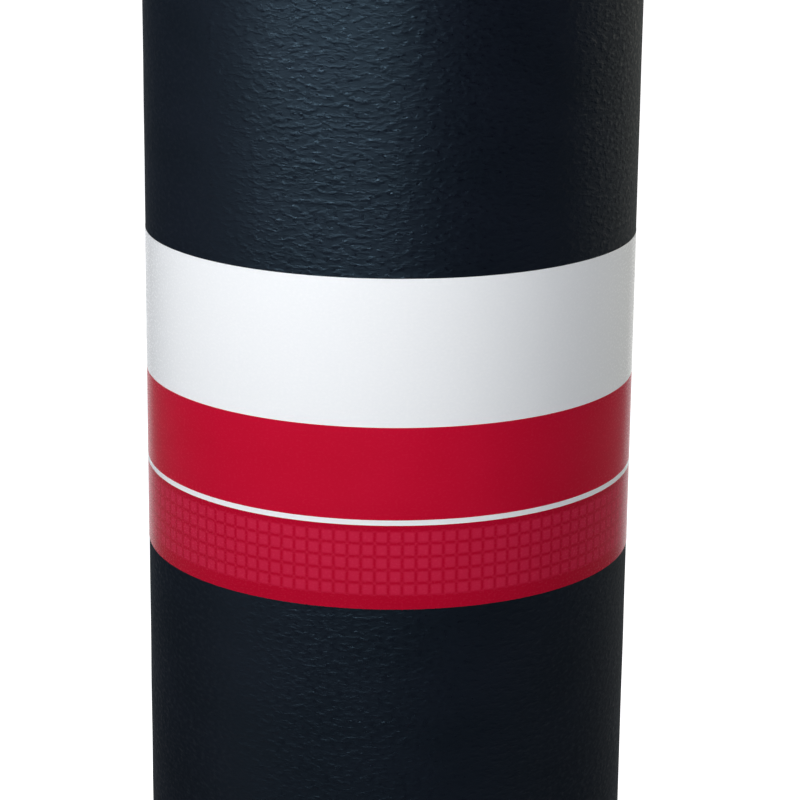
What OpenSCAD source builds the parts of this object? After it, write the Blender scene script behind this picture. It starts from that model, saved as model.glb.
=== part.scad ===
// Roll of asphalt-saturated roofing felt standing on one end, with a printed paper label band.
// Millimetres. The origin is the middle of the lower end, +Z runs up the roll's axis, -Y is the front.

/* [Felt sheet] */
// Width of the sheet, which is the height of the standing roll (36 in)
sheet_width = 914.4; // [600:0.1:1100]
// Length of the sheet before it was wound, in metres (144 ft)
sheet_length_m = 43.9; // [10:0.1:60]
// Thickness of the sheet (1/32 in)
sheet_t = 0.8; // [0.5:0.05:1]
// Slack left between one turn and the next
turn_slack = 0.055; // [0.02:0.005:0.3]

/* [Winding] */
// Diameter of the hollow that the winding mandrel leaves (3 in)
bore_d = 76.2; // [50:0.1:110]
// Outer turns that the roll's weight has pushed level at both ends
level_turns = 7; // [3:1:15]
// How far the innermost turns have crept up out of the roll
creep = 2.2; // [0:0.1:4]
// Uneven rise of one turn against the next
unevenness = 0.9; // [0:0.05:1.5]

/* [Free edges of the sheet] */
// Direction of the outer free edge, in degrees from +X towards +Y
outer_edge_deg = 48; // [10:1:80]
// Direction of the inner free edge, in degrees from +X towards +Y
inner_edge_deg = 216; // [0:1:359]
// Share of the bore's radius that the hollow beside the inner free edge is rounded to
inner_hollow_share = 0.8; // [0.7:0.01:0.9]

/* [Paper label] */
// Height of the white field at the label's top
white_field_h = 67.5; // [20:0.5:120]
// Height of the plain red field under it
red_field_h = 42.9; // [10:0.1:80]
// Height of the white line under the plain red field
white_line_h = 2.5; // [1:0.1:8]
// Height of the patterned red field at the label's foot
pattern_field_h = 39.5; // [10:0.1:80]
// Thickness of the paper
paper_t = 0.15; // [0.1:0.01:0.3]
// Direction of the middle of the glued lap, in degrees from +X towards +Y
label_lap_deg = 150; // [100:1:170]
// Width of the glued lap, along the roll's surface
label_lap_w = 25; // [10:1:60]

/* [Hidden] */
$fn = 128;

felt_colour = [0.09, 0.11, 0.13];
paper_white = [0.95, 0.96, 0.97];
print_red = [0.74, 0.06, 0.16];

// The winding: the sheet's own cross-section fills the ring between the bore and the outside.
bore_r = bore_d / 2;
turn_pitch = sheet_t + turn_slack;
wound_r = sqrt(bore_r * bore_r + sheet_length_m * 1000 * turn_pitch / PI);
turns = round((wound_r - bore_r) / turn_pitch);
roll_r = bore_r + turns * turn_pitch;

// Lengths that reach past the whole roll, sideways and upwards
reach = 2 * roll_r;
tall = sheet_width + 2 * (creep + unevenness);

// The label is centred on the roll's height.
label_h = white_field_h + red_field_h + white_line_h + pattern_field_h;
label_z = (sheet_width - label_h) / 2;
label_fields = [
    [pattern_field_h, print_red],
    [white_line_h, paper_white],
    [red_field_h, print_red],
    [white_field_h, paper_white]
];

// Height of everything in the label under field i
function field_z(i) = i == 0 ? 0 : field_z(i - 1) + label_fields[i - 1][0];

// Inner radius of turn k, counted from 0 at the bore
function turn_r(k) = bore_r + k * turn_pitch;

// How far turn k stands out of the roll at the top. The sheet has one width, so it draws in as far below.
function rise(k) =
    let (under = turns - level_turns - k)
    under <= 0 ? 0 : creep * sin(90 * under / turns) + unevenness * (1 + sin(97 * k)) / 2;

// Half section of the winding, one step for each turn: out along the lower end, back along the upper end
function winding_section() = concat(
    [for (k = [0 : turns - 1]) each [[turn_r(k), rise(k)], [turn_r(k + 1), rise(k)]]],
    [for (k = [turns - 1 : -1 : 0])
        each [[turn_r(k + 1), sheet_width + rise(k)], [turn_r(k), sheet_width + rise(k)]]]
);

// Everything on one side of the XZ plane, past the whole roll: side 1 is towards +Y and side -1 towards -Y
module half_space(side) {
    translate([-reach, side > 0 ? 0 : -reach, -tall]) cube([2 * reach, reach, 3 * tall]);
}

// Round bar past both ends of the roll, with its axis set off along X
module long_bar(radius, offset_x) {
    translate([offset_x, 0, -tall]) cylinder(r = radius, h = 3 * tall);
}

// The sheet winds outwards anticlockwise, seen from above. Its outer end leaves a crescent just past the
// outer free edge, one sheet deep at the edge and fading to nothing.
module outer_edge_relief() {
    rotate([0, 0, outer_edge_deg]) difference() {
        half_space(1);
        long_bar(roll_r, -sheet_t);
    }
}

// Its inner end leaves a crescent just before the inner free edge, where the bore lies on the second turn.
module inner_edge_relief() {
    hollow_r = bore_r * inner_hollow_share;
    rotate([0, 0, inner_edge_deg]) intersection() {
        half_space(-1);
        long_bar(hollow_r, bore_r + sheet_t - hollow_r);
    }
}

module felt_roll() {
    color(felt_colour) difference() {
        rotate_extrude() polygon(winding_section());
        outer_edge_relief();
        inner_edge_relief();
    }
}

// Slice of the plane round the axis, past the whole roll, centred on the given direction
module slice(direction, sweep) {
    edges = [direction - sweep / 2, direction + sweep / 2];
    polygon(concat([[0, 0]], [for (a = edges) reach * [cos(a), sin(a)]]));
}

// Outline of the paper seen along the roll: once round, with its end glued down over its start
module label_outline() {
    difference() {
        union() {
            circle(r = roll_r + paper_t);
            intersection() {
                circle(r = roll_r + 2 * paper_t);
                slice(label_lap_deg, label_lap_w / roll_r * 180 / PI);
            }
        }
        circle(r = roll_r);
    }
}

module paper_label() {
    for (i = [0 : len(label_fields) - 1])
        color(label_fields[i][1]) translate([0, 0, label_z + field_z(i)])
            linear_extrude(height = label_fields[i][0]) label_outline();
}

felt_roll();
paper_label();
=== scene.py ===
"""Dresses the roll of roofing felt: the wound sheet, its printed paper label, the light and the camera.

Metres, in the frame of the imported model: the axis is Z, the floor is z = 0 and -Y is the front.
"""
from math import ceil, cos, pi, radians, sin, sqrt

import bmesh
import bpy
import numpy as np
from mathutils import Matrix, Vector


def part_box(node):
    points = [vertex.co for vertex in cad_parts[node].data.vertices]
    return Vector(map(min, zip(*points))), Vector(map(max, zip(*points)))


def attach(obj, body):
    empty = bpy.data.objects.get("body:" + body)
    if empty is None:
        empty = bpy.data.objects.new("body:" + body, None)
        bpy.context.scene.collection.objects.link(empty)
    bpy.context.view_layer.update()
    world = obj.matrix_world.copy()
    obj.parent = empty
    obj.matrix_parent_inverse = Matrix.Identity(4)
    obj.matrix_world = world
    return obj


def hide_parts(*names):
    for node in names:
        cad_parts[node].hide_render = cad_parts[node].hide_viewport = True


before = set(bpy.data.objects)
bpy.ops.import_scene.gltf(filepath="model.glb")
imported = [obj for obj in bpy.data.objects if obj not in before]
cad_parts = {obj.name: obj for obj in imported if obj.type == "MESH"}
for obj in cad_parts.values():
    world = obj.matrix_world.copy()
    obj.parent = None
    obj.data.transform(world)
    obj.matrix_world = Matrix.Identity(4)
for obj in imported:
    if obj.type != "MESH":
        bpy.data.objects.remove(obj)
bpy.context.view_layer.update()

# The felt sheet
SHEET_WIDTH = 0.9144
SHEET_T = 0.0008
BORE_R = 0.0381
ROLL_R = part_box("felt_roll")[1].x
LAYERS = 91
PITCH = (ROLL_R - BORE_R) / LAYERS

# The sheet's free edges, as angles from +X towards +Y. It winds outwards anticlockwise, seen from above.
INNER_EDGE = radians(216)
OUTER_EDGE = radians(48)
EDGE_SHARE = (OUTER_EDGE - INNER_EDGE) % (2 * pi) / (2 * pi)
SHEET_TURNS = LAYERS - 1 + EDGE_SHARE
# How far the step beside each free edge takes to fade, in turns
OUTER_FADE = 90 / 360
INNER_FADE = 22.5 / 360

# The ends of the roll: how far the inner turns stand up, and the shape of each turn's cut edge
LEVEL_TURNS = 7
CREEP = 0.0022
UNEVENNESS = 0.0009
FRAY = 0.00005
GROOVE_DEPTH = 0.0006
SHOULDER = 0.16
TURN_STEPS = 90
# Turns between the random values of the unevenness, slow and quick, and turns that it takes to begin
SLOW_TURNS = 1.6
QUICK_TURNS = 0.17
BEGIN_TURNS = 4

# The outermost turn, which lies loose at its free edge above and below the label
OUTER_COLUMNS = 240
OUTER_ROWS = 76
EDGE_ROUND = 0.00025
EDGE_LIFT = 0.0014
EDGE_LIFT_REACH = 0.035
WAVE_HEIGHT = 0.00006
# Distances from the label over which the lift and the waves begin
LIFT_BEGINS = (0.02, 0.3)
WAVES_BEGIN = (0, 0.03)

# The slow waves of a sheet: how many, and how many a metre along the sheet and up it
WAVE_COUNT = 7
WAVES_ALONG = (4, 16)
WAVES_UP = (3, 22)

# The paper label, with its printed fields from the bottom up
LABEL_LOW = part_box("paper_label")[0].z
LABEL_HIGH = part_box("paper_label")[1].z
LABEL_H = LABEL_HIGH - LABEL_LOW
PATTERN_FIELD_H = 0.0395
WHITE_LINE_H = 0.0025
RED_FIELD_H = 0.0429
PAPER_T = 0.00015
LABEL_LAP = radians(150)
LABEL_LAP_W = 0.025
LAP_LIFT = 0.0005
LAP_LIFT_REACH = 0.012
LABEL_COLUMNS = 260
LABEL_ROWS = 30
RIPPLE_HEIGHT = 0.00004
# Shares of the label's height, from its middle, over which the ripple of its edges begins
RIPPLE_BEGINS = (0.45, 0.5)

# How near points are welded, and the angle from which an edge is shaded sharp
WELD = 0.000002
SHARP_ANGLE = radians(50)

# Where surfaces lie in the bake's picture: the ends as discs, the rest as (left, low, right, high)
LOW_DISC = (0.16, 0.17)
TOP_DISC = (0.49, 0.17)
DISC_R = 0.15
BORE_WINDOW = (0.67, 0.01, 0.99, 0.16)
HIDDEN_WINDOW = (0.67, 0.25, 0.99, 0.30)
STRIP_WINDOW = (0.67, 0.31, 0.99, 0.33)
OUTER_TURN_WINDOWS = {
    "outside": (0.01, 0.36, 0.99, 0.99),
    "inside": (0.67, 0.18, 0.99, 0.24),
    "edges": (0.01, 0.335, 0.60, 0.345),
    "ends": (0.01, 0.35, 0.60, 0.355),
}
LABEL_WINDOWS = {
    "outside": (0.005, 0.12, 0.995, 0.995),
    "inside": (0.005, 0.01, 0.995, 0.05),
    "edges": (0.005, 0.06, 0.995, 0.08),
    "ends": (0.005, 0.09, 0.995, 0.11),
}

# The print of square tiles in the label's lower field
TILE = 0.0062
TILE_JOINT = 0.0015
FIRST_JOINT = 0.0013
TILE_ROWS_LOW = TILE
TILE_ROWS_HIGH = 6 * TILE

# The camera, fitted to the edges of the roll and of its label in the photograph
PHOTO_HEIGHT_PX = 800
FOCAL_PX = 2905.0
SENSOR_MM = 36
CAMERA_AT = Vector((0, -1.3475, 0.8226))
CAMERA_PITCH = radians(15.6006)
CAMERA_ROLL = radians(0.5547)
CAMERA_YAW = radians(-0.0792)

# The soft boxes at the front left, as angles round the roll from the camera's side
KEY_AZIMUTHS = (-54, -30, -6)
KEY_DISTANCE = 2.2
KEY_HEIGHT = 0.84
KEY_SIZE = (0.9, 0.35)
KEY_AIM = 0.735
KEY_POWER = 1.02
KEY_SPREAD = 42

# The floor, and its white wedge behind the roll: the tip, the sides' slopes, and where it begins
FLOOR_R = 12
FLOOR_SIDES = 96
WHITE_TIP = -1.35
WHITE_SIDE = (0.4, 0.14)
WHITE_BACK = (0.0, 0.5)
WHITE_AWAY = (0.2, 0.58)

# The world's colour and strength, overhead and down at the horizon, and the heights it rises between
SKY_COLOUR = (0.93, 0.96, 1, 1)
OVERHEAD = 0.40
HORIZON = 0.02
SKY_RISE = (0.45, 0.9)

rng = np.random.default_rng(15)


# Small helpers


def linear(red, green, blue):
    """An 8-bit sRGB colour as linear RGBA."""
    shares = [value / 255 for value in (red, green, blue)]
    return [s / 12.92 if s <= 0.04045 else ((s + 0.055) / 1.055) ** 2.4 for s in shares] + [1]


def smooth_step(low, high, value):
    """0 below low, 1 above high, and a smooth rise between them."""
    share = np.clip((value - low) / (high - low), 0, 1)
    return share * share * (3 - 2 * share)


def wander(length, spacing):
    """Smooth random values from -1 to 1 along a line of samples, with a new one every spacing samples."""
    knots = rng.uniform(-1, 1, ceil(length / spacing) + 2)
    place = np.arange(length) / spacing
    first = place.astype(int)
    share = smooth_step(0, 1, place - first)
    return knots[first] * (1 - share) + knots[first + 1] * share


def polar(radius, angle, z):
    """Points at these radii, angles and heights, broadcast against each other."""
    return np.stack(np.broadcast_arrays(radius * np.cos(angle), radius * np.sin(angle), z), -1)


def pairs(first, second):
    """Two arrays of numbers, broadcast against each other, as an array of pairs."""
    return np.stack(np.broadcast_arrays(first, second), -1)


def window(low_u, low_v, high_u, high_v, across, up):
    """Places in the bake's picture, for shares of a rectangle in it."""
    return pairs(low_u + (high_u - low_u) * across, low_v + (high_v - low_v) * up)


class Patchwork:
    """Collects grids of points that together bound one piece."""

    def __init__(self):
        self.points = []
        self.sheet = []
        self.atlas = []
        self.faces = []
        self.materials = []
        self.count = 0

    def grid(self, points, sheet, atlas, material=0):
        """Adds a grid of points, which faces the way of its columns' direction x its rows' direction.

        sheet holds the points' places on the flat sheet, in metres, and atlas their places in the bake.
        """
        rows, columns = points.shape[:2]
        index = self.count + np.arange(rows * columns).reshape(rows, columns)
        quads = np.stack([index[:-1, :-1], index[:-1, 1:], index[1:, 1:], index[1:, :-1]], -1)
        self.points.append(points.reshape(-1, 3))
        self.sheet.append(np.broadcast_to(sheet, (rows, columns, 2)).reshape(-1, 2))
        self.atlas.append(np.broadcast_to(atlas, (rows, columns, 2)).reshape(-1, 2))
        self.faces.append(quads.reshape(-1, 4))
        self.materials.append(np.full(len(self.faces[-1]), material, np.int32))
        self.count += rows * columns

    def build(self, name, materials):
        """Makes the object, with the grids welded where they meet."""
        faces = np.concatenate(self.faces)
        mesh = bpy.data.meshes.new(name)
        mesh.from_pydata(np.concatenate(self.points).tolist(), [], faces.tolist())
        for map_name, places in (("sheet", self.sheet), ("OFBake", self.atlas)):
            layer = mesh.uv_layers.new(name=map_name, do_init=False)
            corners = np.concatenate(places)[faces.ravel()]
            layer.uv.foreach_set("vector", corners.astype(np.float32).ravel())
        for material in materials:
            mesh.materials.append(material)
        mesh.polygons.foreach_set("material_index", np.concatenate(self.materials))
        shape = bmesh.new()
        shape.from_mesh(mesh)
        bmesh.ops.remove_doubles(shape, verts=shape.verts, dist=WELD)
        shape.to_mesh(mesh)
        shape.free()
        mesh.shade_smooth()
        mesh.set_sharp_from_angle(angle=SHARP_ANGLE)
        piece = bpy.data.objects.new(name, mesh)
        bpy.context.collection.objects.link(piece)
        return piece


# The winding


def sheet_angle(turn):
    """Angle round the axis, this many turns from the inner free edge."""
    return INNER_EDGE + 2 * pi * turn


def sheet_length(turn):
    """Length of sheet from the inner free edge."""
    return 2 * pi * (BORE_R * turn + PITCH * turn * turn / 2)


def layer_radius(turn):
    """Radius of the sheet's inner face. One turn more gives the radius of its outer face."""
    share = turn % 1
    bore = BORE_R + PITCH * np.cos(pi / 2 * np.clip((1 - share) / INNER_FADE, 0, 1))
    past_edge = share - EDGE_SHARE
    bare = past_edge >= 0
    step = np.where(bare, PITCH * np.cos(pi / 2 * np.clip(past_edge / OUTER_FADE, 0, 1)), 0)
    layers = np.where(bare, LAYERS - 1, LAYERS)
    return bore + np.floor(turn) * (ROLL_R - step - bore) / layers


def end_rise(turn):
    """How far the sheet stands out at the top. It has one width, so it draws in as far below."""
    under = np.clip(LAYERS - LEVEL_TURNS - turn, 0, None)
    slow = wander(len(turn), SLOW_TURNS * TURN_STEPS)
    quick = wander(len(turn), QUICK_TURNS * TURN_STEPS)
    uneven = UNEVENNESS * (0.5 + 0.3 * slow + 0.2 * quick) * smooth_step(0, BEGIN_TURNS, under)
    return CREEP * np.sin(pi / 2 * under / LAYERS) + uneven


def add_winding(patch):
    """Every turn under the outermost one: the grooved ends, the bore and the inner free edge."""
    turn = np.arange(round((SHEET_TURNS - 1) * TURN_STEPS) + 1) / TURN_STEPS
    beyond = np.arange(len(turn) + TURN_STEPS) / TURN_STEPS
    angle = sheet_angle(turn)
    inner, outer = layer_radius(turn), layer_radius(turn + 1)
    rise = end_rise(turn)
    rise_inside = np.concatenate([rise[:TURN_STEPS], rise])
    rise_outside = np.concatenate([rise, np.zeros(TURN_STEPS)])
    radii = np.stack([inner, inner + SHOULDER * PITCH, outer - SHOULDER * PITCH, outer])
    along = sheet_length(turn)
    ends = []
    for top in (False, True):
        fray = rng.uniform(0, FRAY, (2, len(turn)))
        if top:
            groove = SHEET_WIDTH + np.minimum(rise_inside, rise_outside) - GROOVE_DEPTH
            crown = SHEET_WIDTH + rise - fray
        else:
            groove = np.maximum(rise_inside, rise_outside) + GROOVE_DEPTH
            crown = rise + fray
        heights = np.stack([groove[:len(turn)], crown[0], crown[1], groove[TURN_STEPS:]])
        points = polar(radii, angle, heights)
        across = SHEET_WIDTH * top + radii - inner
        middle = TOP_DISC if top else LOW_DISC
        disc = np.array(middle) + DISC_R * points[..., :2] / ROLL_R
        order = slice(None, None, -1) if top else slice(None)
        patch.grid(points[order], pairs(along, across)[order], disc[order], material=1)
        ends.append((points, groove))
    (low_points, low_groove), (high_points, high_groove) = ends

    heights = np.stack([high_groove, low_groove])
    walls = polar(layer_radius(beyond), sheet_angle(beyond), heights)
    places = pairs(sheet_length(beyond), heights)
    share = beyond % 1
    first, last = slice(0, TURN_STEPS + 1), slice(len(turn) - 1, None)
    up = np.array([[1.0], [0.0]])
    bore_atlas = window(*BORE_WINDOW, up, share)
    hidden_atlas = window(*HIDDEN_WINDOW, up, share)
    strip_atlas = window(*STRIP_WINDOW, up[::-1], np.linspace(0, 1, len(radii)))
    patch.grid(walls[:, first], places[:, first], bore_atlas[:, first])
    patch.grid(walls[::-1, last], places[::-1, last], hidden_atlas[::-1, last])
    for column, order in ((0, slice(None)), (-1, slice(None, None, -1))):
        strip = np.stack([low_points[:, column], high_points[:, column]])
        flat = pairs(along[column] + radii[:, column] - inner[column], strip[..., 2])
        patch.grid(strip[order], flat[order], strip_atlas[order], material=1)


def add_wrapped_sheet(patch, angle, length, outside, half, thickness, windows):
    """One sheet round the roll, with its free ends closed.

    half holds (depth under the outside, height) from the bottom to the top of the outer half of its
    section, and outside is the radius of its outside, one row for each of those. windows are places in
    the bake's picture for the outside, the inside, both edges and both free ends.
    """
    depth, height = np.array(half).T[:, :, None]
    outer = polar(outside - depth, angle, height)
    inner = polar(outside - thickness + depth, angle, height)
    face = np.flatnonzero(depth[:, 0] == 0)
    low, high = face[0], face[-1] + 1
    around = (angle - angle[0]) / (angle[-1] - angle[0])
    up = (height - height[0]) / (height[-1] - height[0])
    flat = pairs(length, height)
    outside_atlas = window(*windows["outside"], up[low:high], around)
    inside_atlas = window(*windows["inside"], up[low:high], around)
    patch.grid(outer[low:high], flat[low:high], outside_atlas)
    patch.grid(inner[low:high][::-1], flat[low:high][::-1], inside_atlas, material=1)
    edge_top = np.concatenate([outer[high - 1:], inner[high - 1:][::-1]])
    edge_low = np.concatenate([inner[:low + 1][::-1], outer[:low + 1]])
    for edge, z in ((edge_top, height[-1, 0]), (edge_low, 0)):
        across = np.linspace(0, 1, len(edge))[:, None]
        edge_atlas = window(*windows["edges"], across, around)
        patch.grid(edge, pairs(length, z + across * thickness), edge_atlas, material=1)
    through = np.array([[0], [1]])
    end_atlas = window(*windows["ends"], up[:, 0], through)
    for column, order in ((0, slice(None)), (-1, slice(None, None, -1))):
        end = np.stack([outer[:, column], inner[:, column]])
        flat_end = pairs(length[column] + through * thickness, height[:, 0])
        patch.grid(end[order], flat_end[order], end_atlas[order], material=1)


def sheet_waves(length, height):
    """Slow random waves of a sheet, about 1 high."""
    total = 0
    for _ in range(WAVE_COUNT):
        along, up = rng.uniform(*WAVES_ALONG), rng.uniform(*WAVES_UP)
        total = total + np.sin(2 * pi * (along * length + up * height) + rng.uniform(0, 2 * pi))
    return total / 3


def add_outer_turn(patch):
    """The outermost turn, with its free edge lifted a little where the label doesn't hold it."""
    turn = SHEET_TURNS - 1 + np.arange(OUTER_COLUMNS + 1) / OUTER_COLUMNS
    length = sheet_length(turn)
    faces = [(0, z) for z in np.linspace(EDGE_ROUND, SHEET_WIDTH - EDGE_ROUND, OUTER_ROWS + 1)]
    corner = [(EDGE_ROUND, 0), (0.3 * EDGE_ROUND, 0.3 * EDGE_ROUND)]
    half = corner + faces + [(depth, SHEET_WIDTH - z) for depth, z in reversed(corner)]
    height = np.array([z for _, z in half])[:, None]
    from_label = np.maximum(LABEL_LOW - height, height - LABEL_HIGH)
    towards_edge = np.exp((length - length[-1]) / EDGE_LIFT_REACH)
    lift = EDGE_LIFT * smooth_step(*LIFT_BEGINS, from_label) * towards_edge
    loose = smooth_step(*WAVES_BEGIN, from_label)
    outside = layer_radius(turn + 1) + lift + WAVE_HEIGHT * loose * sheet_waves(length, height)
    add_wrapped_sheet(patch, sheet_angle(turn), length, outside, half, SHEET_T, OUTER_TURN_WINDOWS)


def make_felt():
    """The wound sheet, as one piece."""
    patch = Patchwork()
    add_winding(patch)
    add_outer_turn(patch)
    return patch.build("wound_felt", [felt_material(), cut_edge_material()])


# The label


def felt_outside(angle):
    """Radius of what the label lies on. Paper can't dip sharply beside the felt's free edge."""
    turn = SHEET_TURNS + (angle - OUTER_EDGE) / (2 * pi) % 1
    past_edge = (angle - OUTER_EDGE) % (2 * pi)
    slope = sqrt(2 * PITCH / ROLL_R)
    bridge = ROLL_R * (1 - slope * past_edge + past_edge * past_edge / 2)
    return np.where(past_edge < slope, np.maximum(bridge, layer_radius(turn)), layer_radius(turn))


def make_label():
    """The paper band, once round, with its end glued over its start and a little loose at the edge."""
    lap = LABEL_LAP_W / ROLL_R
    angle = np.linspace(LABEL_LAP - lap / 2, LABEL_LAP + lap / 2 + 2 * pi, LABEL_COLUMNS + 1)
    length = (angle - angle[0]) * ROLL_R
    half = [(0, z) for z in np.linspace(LABEL_LOW, LABEL_HIGH, LABEL_ROWS + 1)]
    height = np.array([z for _, z in half])[:, None]
    over = smooth_step(2 * pi - lap, 2 * pi, angle - angle[0])
    near_edge = smooth_step(*RIPPLE_BEGINS, abs((height - LABEL_LOW) / LABEL_H - 0.5))
    ripple = RIPPLE_HEIGHT * near_edge * (1 + sheet_waves(length, height))
    lift = LAP_LIFT * smooth_step(-LAP_LIFT_REACH, 0, length - length[-1])
    outside = felt_outside(angle) + PAPER_T * (1 + over) + lift + ripple
    patch = Patchwork()
    add_wrapped_sheet(patch, angle, length, outside, half, PAPER_T, LABEL_WINDOWS)
    return patch.build("label_band", [print_material(), paper_material()])


# Materials


class Shader:
    """The nodes of a material or a world, with short ways to add to them."""

    def __init__(self, owner, surface="Principled BSDF"):
        owner.use_nodes = True
        self.owner = owner
        self.tree = owner.node_tree
        self.surface = self.tree.nodes[surface]

    def add(self, kind, inputs, **settings):
        """A new node, with its inputs and settings."""
        node = self.tree.nodes.new(kind)
        for key, value in settings.items():
            setattr(node, key, value)
        self.feed(node, inputs)
        return node

    def feed(self, node, inputs):
        """Links a node's inputs to other nodes, or sets them."""
        for key, value in inputs.items():
            if isinstance(value, bpy.types.NodeSocket):
                self.tree.links.new(value, node.inputs[key])
            else:
                node.inputs[key].default_value = value

    def math(self, operation, *values):
        """The result of one sum."""
        return self.add("ShaderNodeMath", dict(enumerate(values)), operation=operation).outputs[0]

    def flat_place(self):
        """The place on the flat sheet, in metres."""
        return self.add("ShaderNodeUVMap", {}, uv_map="sheet").outputs[0]

    def noise(self, place, width, height, detail=3.0, roughness=0.5):
        """Noise from 0 to 1, in lumps of about this width and height in metres."""
        lumps = {0: place, 1: (1 / width, 1 / height, 1)}
        scaled = self.add("ShaderNodeVectorMath", lumps, operation="MULTIPLY").outputs[0]
        inputs = {"Vector": scaled, "Scale": 1.0, "Detail": detail, "Roughness": roughness}
        return self.add("ShaderNodeTexNoise", inputs, noise_dimensions="2D").outputs[0]

    def spread(self, value, from_low, from_high, to_low, to_high):
        """Moves a range of values to another, with what is outside it cut off."""
        inputs = dict(enumerate((value, from_low, from_high, to_low, to_high)))
        return self.add("ShaderNodeMapRange", inputs).outputs[0]

    def rise(self, value, low, high):
        """0 below low, 1 above high, and a smooth rise between them."""
        inputs = dict(enumerate((value, low, high, 0.0, 1.0)))
        return self.add("ShaderNodeMapRange", inputs, interpolation_type="SMOOTHSTEP").outputs[0]

    def mix(self, share, first, second):
        """first where share is 0 and second where it is 1."""
        return self.add("ShaderNodeMix", {0: share, 6: first, 7: second}, data_type="RGBA").outputs[2]

    def bump(self, height, distance):
        """A normal for relief that is distance deep, in metres, where height goes from 0 to 1."""
        return self.add("ShaderNodeBump", {"Height": height, "Distance": distance}).outputs[0]


def felt_material():
    """Asphalt-saturated felt: blue-black, with short raised fibres along the sheet, and dull at a slant."""
    shader = Shader(bpy.data.materials.new("saturated_felt"))
    place = shader.flat_place()
    lumps = shader.noise(place, 0.0060, 0.0042, detail=4.0, roughness=0.6)
    fibres = shader.noise(place, 0.0050, 0.0025, detail=2.0)
    glints = shader.noise(place, 0.0030, 0.0018, detail=2.0)
    cloud = shader.noise(place, 0.06, 0.03, detail=4.0, roughness=0.6)
    raised = shader.math("MULTIPLY", shader.rise(fibres, 0.4, 0.8), 0.6)
    relief = shader.math("ADD", shader.math("MULTIPLY", lumps, 0.5), raised)
    tone = shader.spread(cloud, 0.3, 0.7, 0.0, 1.0)
    colour = shader.mix(tone, linear(7, 8, 17), linear(12, 13, 23))
    facing = shader.add("ShaderNodeLayerWeight", {"Blend": 0.5}).outputs["Facing"]
    slanting = shader.math("MULTIPLY", shader.rise(facing, 0.05, 0.62), 0.52)
    dullness = shader.math("ADD", shader.spread(glints, 0.45, 0.75, 0.45, 0.24), slanting)
    shader.feed(
        shader.surface,
        {
            "Base Color": colour,
            "Roughness": dullness,
            "Specular IOR Level": 0.29,
            "Specular Tint": (0.45, 0.75, 1.0, 1.0),
            "Normal": shader.bump(relief, 0.00027),
        },
    )
    return shader.owner


def cut_edge_material():
    """The cut edges of the felt: matt, dusty, browner than its faces, and paler in some turns."""
    shader = Shader(bpy.data.materials.new("cut_felt_edge"))
    place = shader.flat_place()
    blotches = shader.noise(place, 0.02, 0.004, detail=3.0, roughness=0.6)
    fibres = shader.noise(place, 0.0015, 0.0003, detail=2.0)
    turns = shader.spread(shader.noise(place, 0.9, 0.5, detail=2.0), 0.35, 0.65, 0.0, 0.5)
    dust = shader.spread(shader.math("MULTIPLY", blotches, fibres), 0.12, 0.4, 0.0, 0.5)
    paleness = shader.math("ADD", dust, turns)
    shader.feed(
        shader.surface,
        {
            "Base Color": shader.mix(paleness, linear(15, 15, 18), linear(66, 64, 61)),
            "Roughness": shader.spread(fibres, 0.2, 0.8, 0.7, 0.9),
            "Specular IOR Level": 0.2,
            "Normal": shader.bump(fibres, 0.0002),
        },
    )
    return shader.owner


def paper_material():
    """The label's bare paper, on its back and its cut edges."""
    shader = Shader(bpy.data.materials.new("label_paper"))
    fibres = shader.noise(shader.flat_place(), 0.0008, 0.0005, detail=4.0)
    shader.feed(
        shader.surface,
        {
            "Base Color": shader.mix(fibres, linear(226, 226, 224), linear(240, 240, 238)),
            "Roughness": shader.spread(fibres, 0.3, 0.7, 0.75, 0.9),
        },
    )
    return shader.owner


def tile_print(shader, along, up):
    """1 on the printed tiles, and 0 in the joints between them and outside their rows."""
    joints = []
    for place in (shader.math("SUBTRACT", along, FIRST_JOINT), up):
        share = shader.math("FRACT", shader.math("DIVIDE", place, TILE))
        from_middle = shader.math("ABSOLUTE", shader.math("SUBTRACT", share, 0.5))
        joints.append(shader.rise(from_middle, 0.5 - TILE_JOINT / TILE, 0.5))
    # Where two joints cross, they show half as much
    crossing = shader.math("MULTIPLY", shader.math("MULTIPLY", *joints), 1.5)
    joint = shader.math("SUBTRACT", shader.math("ADD", *joints), crossing)
    lower = shader.math("GREATER_THAN", up, TILE_ROWS_LOW)
    upper = shader.math("LESS_THAN", up, TILE_ROWS_HIGH)
    in_rows = shader.math("MULTIPLY", lower, upper)
    return shader.math("MULTIPLY", shader.math("SUBTRACT", 1.0, joint), in_rows)


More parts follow.
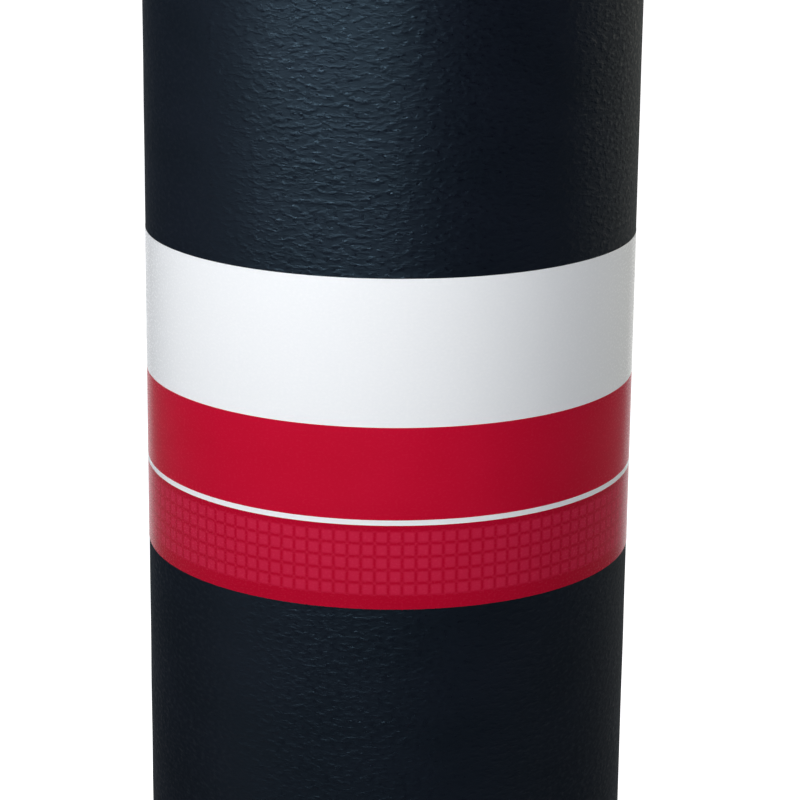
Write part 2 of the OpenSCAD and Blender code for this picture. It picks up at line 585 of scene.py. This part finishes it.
def print_material():
    """The printed face: white, red, a white line, and red with faint paler tiles, under a gloss coat."""
    shader = Shader(bpy.data.materials.new("printed_paper"))
    place = shader.flat_place()
    split = shader.add("ShaderNodeSeparateXYZ", {0: place})
    along = split.outputs[0]
    up = shader.math("SUBTRACT", split.outputs[1], LABEL_LOW)
    fibres = shader.noise(place, 0.0015, 0.001, detail=3.0)
    ink = shader.noise(place, 0.03, 0.02, detail=4.0)

    white = shader.mix(fibres, linear(244, 247, 251), linear(249, 251, 254))
    red = shader.mix(ink, linear(193, 9, 45), linear(199, 13, 51))
    tile = shader.mix(ink, linear(197, 28, 64), linear(203, 34, 70))
    between = shader.mix(ink, linear(180, 4, 41), linear(186, 7, 46))
    pattern_field = shader.mix(tile_print(shader, along, up), between, tile)

    line_low = PATTERN_FIELD_H
    red_low = line_low + WHITE_LINE_H
    white_low = red_low + RED_FIELD_H
    colour = shader.mix(shader.math("GREATER_THAN", up, line_low), pattern_field, white)
    colour = shader.mix(shader.math("GREATER_THAN", up, red_low), colour, red)
    colour = shader.mix(shader.math("GREATER_THAN", up, white_low), colour, white)
    shader.feed(
        shader.surface,
        {
            "Base Color": colour,
            "Roughness": shader.spread(fibres, 0.2, 0.8, 0.22, 0.3),
            "Specular IOR Level": 0.09,
            "Normal": shader.bump(fibres, 0.00001),
        },
    )
    return shader.owner


# The stage


def make_floor():
    """A plain pale floor, which is white to the eye behind the roll."""
    mesh = bpy.data.meshes.new("floor")
    angles = np.linspace(0, 2 * pi, FLOOR_SIDES, endpoint=False)
    rim = [(FLOOR_R * cos(angle), FLOOR_R * sin(angle), 0) for angle in angles]
    mesh.from_pydata(rim, [], [range(len(rim))])
    shader = Shader(bpy.data.materials.new("pale_floor"))
    grain = shader.add("ShaderNodeTexNoise", {"Scale": 40.0})
    place = shader.add("ShaderNodeNewGeometry", {}).outputs["Position"]
    across, back, _ = shader.add("ShaderNodeSeparateXYZ", {0: place}).outputs
    away = shader.add("ShaderNodeVectorMath", {0: place}, operation="LENGTH").outputs["Value"]
    slope = shader.math("DIVIDE", across, shader.math("SUBTRACT", back, WHITE_TIP))
    behind = shader.rise(shader.math("ABSOLUTE", slope), *WHITE_SIDE)
    behind = shader.math("MULTIPLY", behind, shader.rise(back, *WHITE_BACK))
    behind = shader.math("MULTIPLY", behind, shader.rise(away, *WHITE_AWAY))
    rays = shader.add("ShaderNodeLightPath", {}).outputs
    seen = shader.math("MAXIMUM", rays["Is Camera Ray"], rays["Is Glossy Ray"])
    seen = shader.math("MAXIMUM", seen, rays["Is Transmission Ray"])
    shader.feed(
        shader.surface,
        {
            "Base Color": shader.mix(grain.outputs[0], linear(245, 245, 245), linear(249, 249, 249)),
            "Roughness": 0.9,
            "Specular IOR Level": 0.0,
            "Emission Color": (1, 1, 1, 1),
            "Emission Strength": shader.math("MULTIPLY", seen, behind),
        },
    )
    mesh.materials.append(shader.owner)
    floor = bpy.data.objects.new("floor", mesh)
    bpy.context.collection.objects.link(floor)


def add_lamp(name, at, aim, size, power, colour=(1, 1, 1), spread=180, shape="RECTANGLE"):
    """A soft box at a place, aimed at a point, with its width level and its spread in degrees."""
    light = bpy.data.lights.new(name, "AREA")
    light.shape = shape
    light.size, light.size_y = size
    light.energy = power
    light.color = colour
    light.spread = radians(spread)
    lamp = bpy.data.objects.new(name, light)
    lamp.location = at
    lamp.rotation_euler = (Vector(aim) - Vector(at)).to_track_quat("-Z", "Y").to_euler()
    lamp.visible_camera = False
    bpy.context.collection.objects.link(lamp)


def light_scene():
    """Soft boxes at the front left, weaker ones at the right, behind and above, and a world bright overhead."""
    for number, azimuth in enumerate(KEY_AZIMUTHS):
        side, ahead = KEY_DISTANCE * sin(radians(azimuth)), KEY_DISTANCE * cos(radians(azimuth))
        at = (side, -ahead, KEY_HEIGHT)
        add_lamp(f"key_{number}", at, (0, 0, KEY_AIM), KEY_SIZE, KEY_POWER, spread=KEY_SPREAD)
    add_lamp(
        "right",
        at=(1.4, 1.5, 1.1),
        aim=(0, 0, 0.76),
        size=(1.0, 0.8),
        power=1.85,
        colour=(1, 0.95, 0.79),
        spread=34,
    )
    add_lamp("right_fill", at=(1.1, -0.92, 2.55), aim=(0, 0, 0.55), size=(0.8, 0.8), power=0.4, spread=24)
    add_lamp("back", at=(-0.7, 2.4, 1.5), aim=(0, 0, 0.55), size=(1.2, 1.2), power=1.8, spread=40)
    add_lamp(
        "top",
        at=(0, 0, 2.8),
        aim=(0, 0, 0),
        size=(0.216, 0.216),
        power=0.11,
        spread=0.8,
        shape="ELLIPSE",
    )
    world = bpy.data.worlds.new("studio")
    sky = Shader(world, "Background")
    direction = sky.add("ShaderNodeTexCoord", {}).outputs["Generated"]
    height = sky.add("ShaderNodeSeparateXYZ", {0: direction}).outputs[2]
    overhead = sky.math("MULTIPLY", sky.rise(height, *SKY_RISE), OVERHEAD)
    sky.feed(sky.surface, {"Color": SKY_COLOUR, "Strength": sky.math("ADD", overhead, HORIZON)})
    bpy.context.scene.world = world


def place_camera():
    """The photograph's own view."""
    lens = bpy.data.cameras.new("photo_view")
    lens.sensor_width = SENSOR_MM
    lens.lens = FOCAL_PX * SENSOR_MM / PHOTO_HEIGHT_PX
    camera = bpy.data.objects.new("photo_view", lens)
    tilt = Matrix.Rotation(pi / 2 - CAMERA_PITCH, 4, "X")
    turned = Matrix.Rotation(CAMERA_YAW, 4, "Z") @ tilt @ Matrix.Rotation(CAMERA_ROLL, 4, "Z")
    camera.matrix_world = Matrix.Translation(CAMERA_AT) @ turned
    bpy.context.collection.objects.link(camera)
    bpy.context.scene.camera = camera


place_camera()
light_scene()
make_floor()
for piece, node, slot in (
    (make_felt(), "felt_roll", "felt"),
    (make_label(), "paper_label", "label_paper"),
):
    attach(piece, "root")
    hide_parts(node)

bpy.context.scene.view_settings.view_transform = "Standard"
